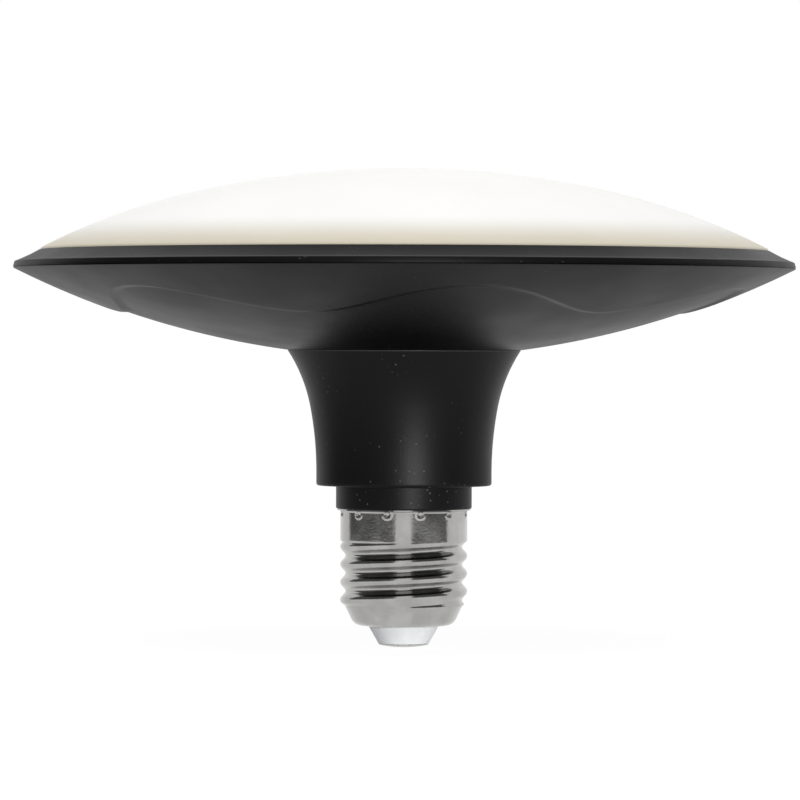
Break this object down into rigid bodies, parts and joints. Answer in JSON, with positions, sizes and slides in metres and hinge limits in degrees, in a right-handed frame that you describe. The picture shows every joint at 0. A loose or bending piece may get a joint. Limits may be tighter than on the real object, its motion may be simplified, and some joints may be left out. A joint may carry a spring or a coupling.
{
  "type": "led bulb",
  "caption": "Flat disc light bulb: wide shallow opal dome on a black dish with a wavy raised rim band, flared neck and E27 screw cap.",
  "frame": {"origin": "on the lamp's axis, at the lower end of the cap's plain skirt, where the E27 thread starts", "axes": "+Z along the lamp's axis from the cap to the dome; -Y is the side that faces the picture's camera; +X is its right"},
  "size_m": [0.16, 0.16, 0.098],
  "materials": {
    "opal_plastic": "opal white polycarbonate, satin",
    "black_plastic": "black heat-conducting plastic, fine satin grain",
    "nickel": "nickel-plated brass sheet, rolled",
    "white_insulator": "white moulded insulator",
    "contact_metal": "tinned contact",
    "bare_aluminium": "bare pressed aluminium",
    "white_board": "aluminium-core board with white solder mask",
    "light_chip": "yellow phosphor light chip in a white frame",
    "terminal_plastic": "white moulded terminal block",
    "screw_steel": "zinc-plated steel",
    "driver_board": "green glass-fibre board",
    "ferrite": "dark ferrite with yellow taped winding",
    "capacitor_sleeve": "dark sleeve on an aluminium can",
    "film_block": "orange-red dipped film block",
    "chip_epoxy": "black moulded epoxy",
    "choke_sleeve": "black shrink sleeve on a ferrite drum",
    "fuse_ceramic": "blue-grey cement coat",
    "varistor_coat": "blue epoxy coat",
    "red_insulation": "red silicone insulation",
    "black_insulation": "black silicone insulation",
    "cap_lead_insulation": "white silicone insulation"
  },
  "bodies": {
    "root": {"diffuser": "opal_plastic", "bezel_ring": "black_plastic", "dish_housing": "black_plastic", "neck_housing": "black_plastic", "screw_shell": "nickel", "cap_insulator": "white_insulator", "centre_contact": "contact_metal", "heat_spreader": "bare_aluminium", "led_board": "white_board", "led_chips": "light_chip", "board_connector": "terminal_plastic", "board_screws": "screw_steel", "neck_screws": "screw_steel", "driver_board": "driver_board", "transformer": "ferrite", "bulk_capacitor": "capacitor_sleeve", "film_capacitor": "film_block", "driver_chip": "chip_epoxy", "bridge_rectifier": "chip_epoxy", "filter_choke": "choke_sleeve", "fuse_resistor": "fuse_ceramic", "varistor": "varistor_coat", "output_lead_red": "red_insulation", "output_lead_black": "black_insulation", "shell_lead": "cap_lead_insulation", "contact_lead": "cap_lead_insulation"}
  },
  "joints": []
}
